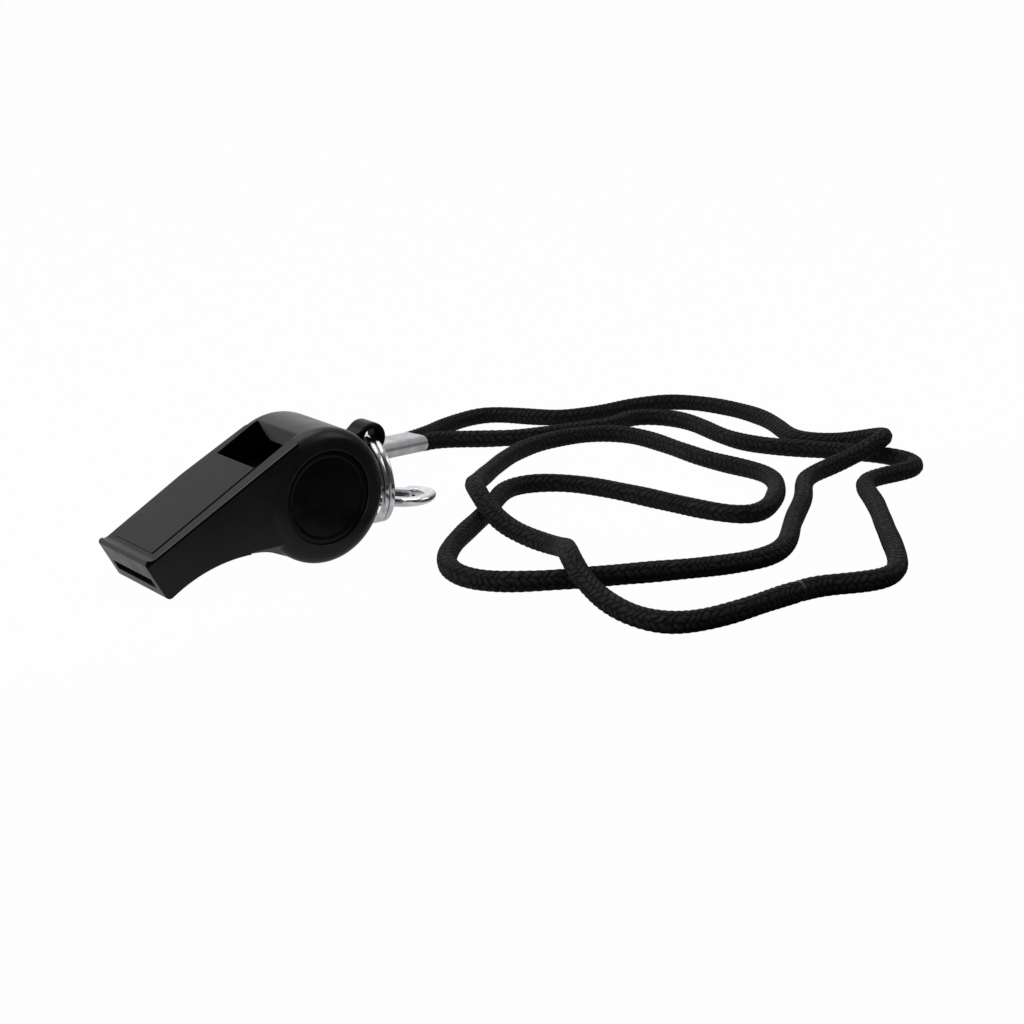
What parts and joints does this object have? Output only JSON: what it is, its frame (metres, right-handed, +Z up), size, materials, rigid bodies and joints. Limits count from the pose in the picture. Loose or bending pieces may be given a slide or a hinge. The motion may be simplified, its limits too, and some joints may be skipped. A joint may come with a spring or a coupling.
{
  "type": "sports whistle",
  "caption": "Dark plastic pea whistle with a sloping mouthpiece and sound window, a split ring and trigger hook on its lug, and a long black braided neck cord with a crimped sleeve.",
  "frame": {"origin": "middle of the table contact, under the middle of the whistle with its split ring, the cord and hook left out", "axes": "X along the whistle with the mouthpiece toward -X, Y along the chamber axis, Z up"},
  "size_m": [0.1656, 0.134, 0.024],
  "materials": {
    "shell_plastic": "satin black moulding",
    "cap_plastic": "satin black disc",
    "cork": "pressed cork",
    "ring_steel": "bright nickel plated wire",
    "hook_chrome": "polished plating",
    "sleeve_aluminium": "satin",
    "cord_black": "round braid",
    "joint_black": "melted ends"
  },
  "bodies": {
    "whistle": {"body_shell": "shell_plastic", "windway_roof": "shell_plastic", "side_cap_near": "cap_plastic", "side_cap_far": "cap_plastic"},
    "cork_ball": {"pea": "cork"},
    "ring": {"split_ring": "ring_steel"},
    "lanyard": {"swivel_eye": "hook_chrome", "ferrule": "sleeve_aluminium", "crimped_strands": "cord_black", "cord_bight": "cord_black", "neck_cord_long": "cord_black", "neck_cord_short": "cord_black", "cord_joint": "joint_black"},
    "hook": {"hook_frame": "hook_chrome", "gate_pin": "ring_steel"},
    "gate": {"hook_gate": "hook_chrome", "gate_spring": "ring_steel"}
  },
  "joints": [
    {"name": "pea_roll", "type": "hinge", "parent": "whistle", "child": "cork_ball", "pos_m": [0.00876, 0, 0.012], "axis": [0, 1, 0], "continuous": true},
    {"name": "ring_swing", "type": "hinge", "parent": "whistle", "child": "ring", "pos_m": [0.02316, 0, 0.0187], "axis": [0, 1, 0], "range_deg": [-2.5, 0]},
    {"name": "lanyard_turn", "type": "hinge", "parent": "whistle", "child": "lanyard", "pos_m": [0.02476, 0.0025, 0], "axis": [0, 0, 1], "range_deg": [-1.5, 1.5]},
    {"name": "swivel_turn", "type": "hinge", "parent": "lanyard", "child": "hook", "pos_m": [0.0275, 0.00286, 0.00648], "axis": [0.5722, -0.8172, 0.0698], "range_deg": [-6, 1]},
    {"name": "gate_open", "type": "hinge", "parent": "hook", "child": "gate", "pos_m": [0.02576, 0.01074, 0.00596], "axis": [0.04, -0.0571, -0.9976], "range_deg": [0, 8], "stiffness_Nm_per_rad": 0.002, "springref_deg": -30}
  ]
}
